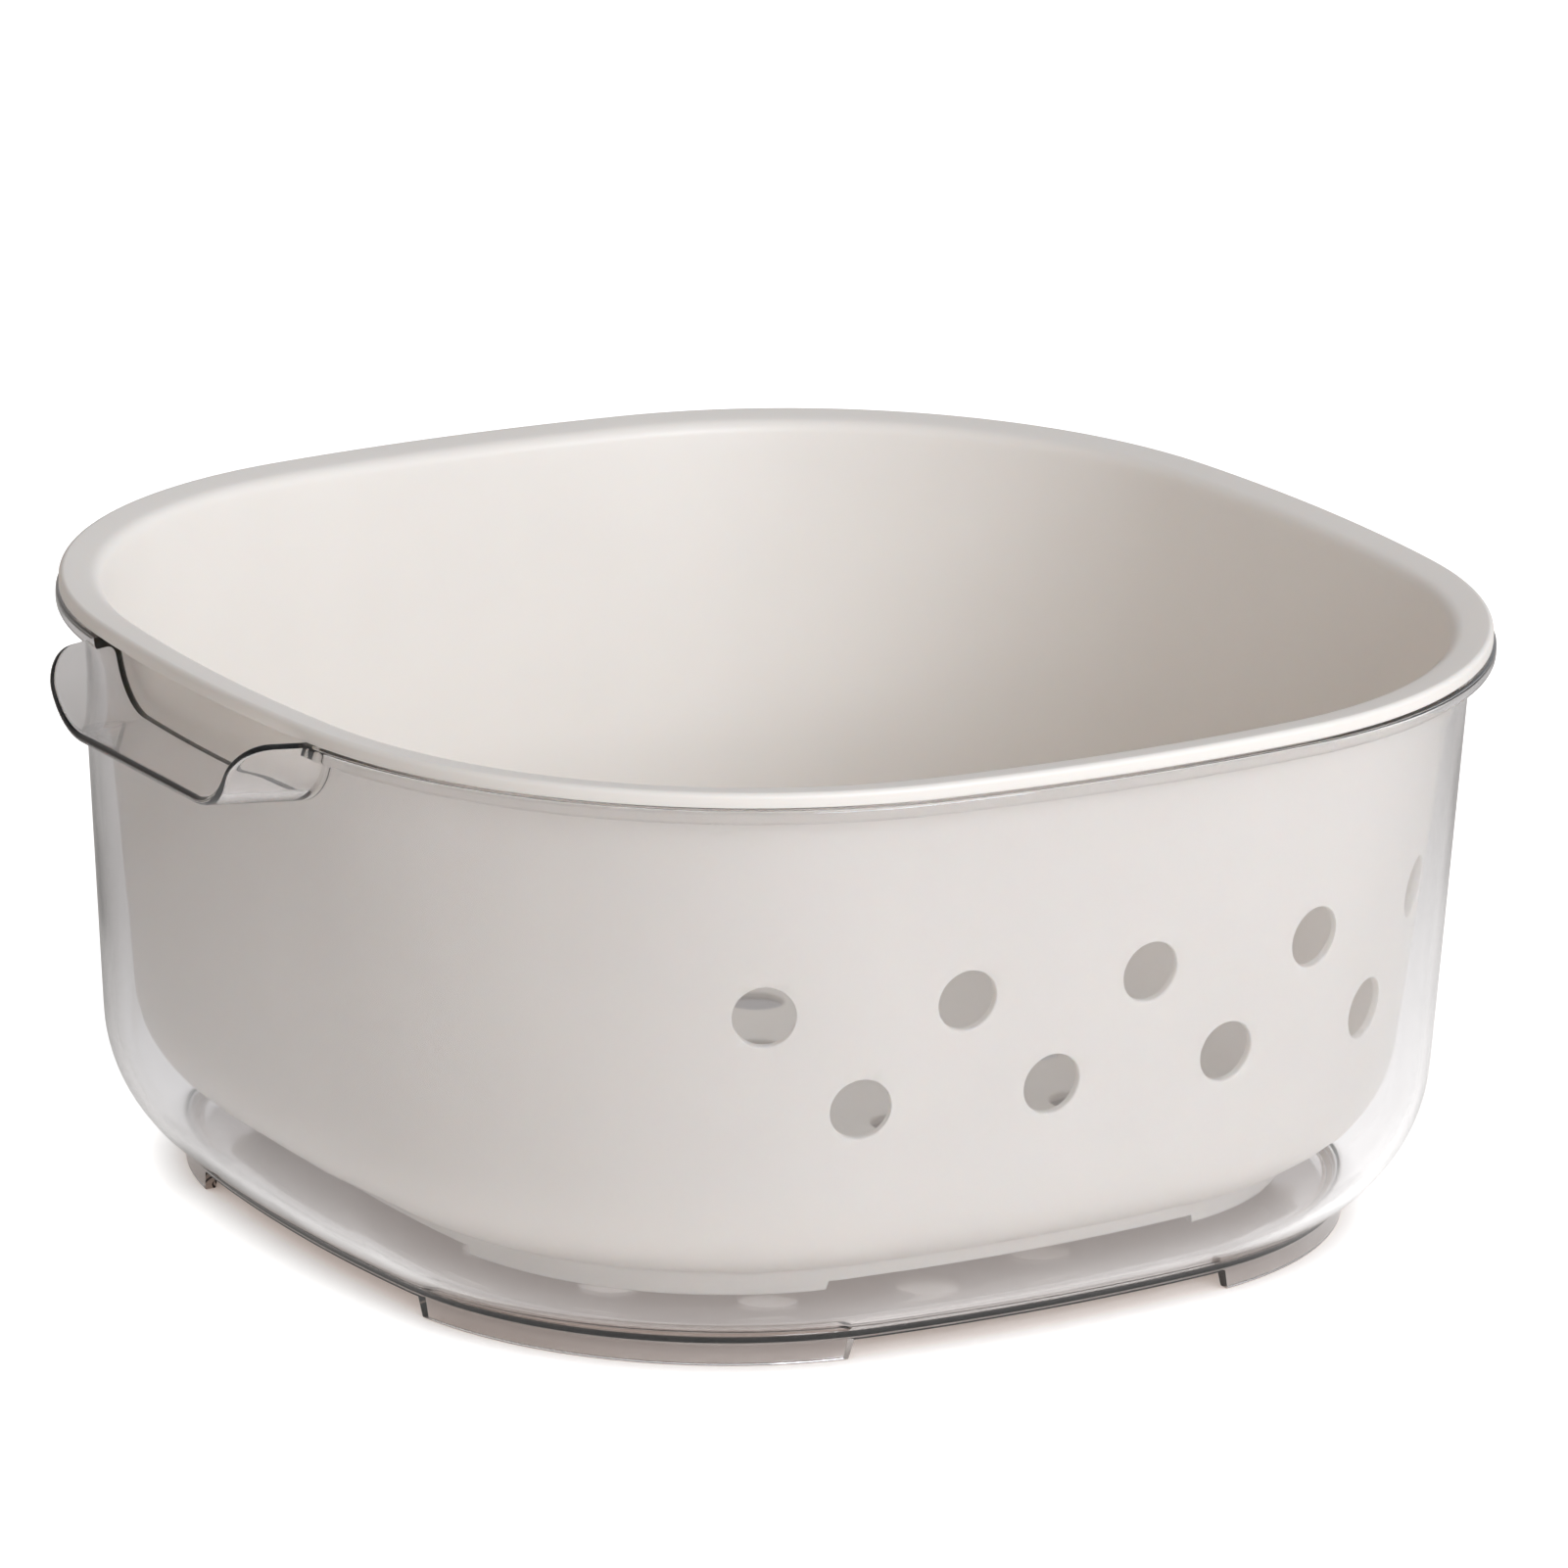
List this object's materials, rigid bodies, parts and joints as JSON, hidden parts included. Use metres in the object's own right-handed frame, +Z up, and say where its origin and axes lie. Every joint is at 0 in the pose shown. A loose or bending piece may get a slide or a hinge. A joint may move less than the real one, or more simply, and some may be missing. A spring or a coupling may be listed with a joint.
{
  "type": "double-layer colander bowl",
  "caption": "Clear rounded-square bowl with an open grip ear and corner feet, holding a lift-out basket whose floor and one wall are pierced to drain.",
  "frame": {"origin": "bottom centre of the whole object's box, on the plane that the bowl's corner feet rest on", "axes": "+Z up; -X towards the grip ear; -Y towards the wall with the drain holes"},
  "size_m": [0.262, 0.252, 0.1159],
  "materials": {
    "clear_plastic": "clear, slightly smoky, polished mould",
    "cream_plastic": "opaque warm white, satin mould"
  },
  "bodies": {
    "bowl": {"outer_bowl": "clear_plastic"},
    "basket": {"colander_basket": "cream_plastic"}
  },
  "joints": [
    {"name": "basket_lift", "type": "slide", "parent": "bowl", "child": "basket", "axis": [0, 0, 1], "range_m": [0, 0.12]}
  ]
}
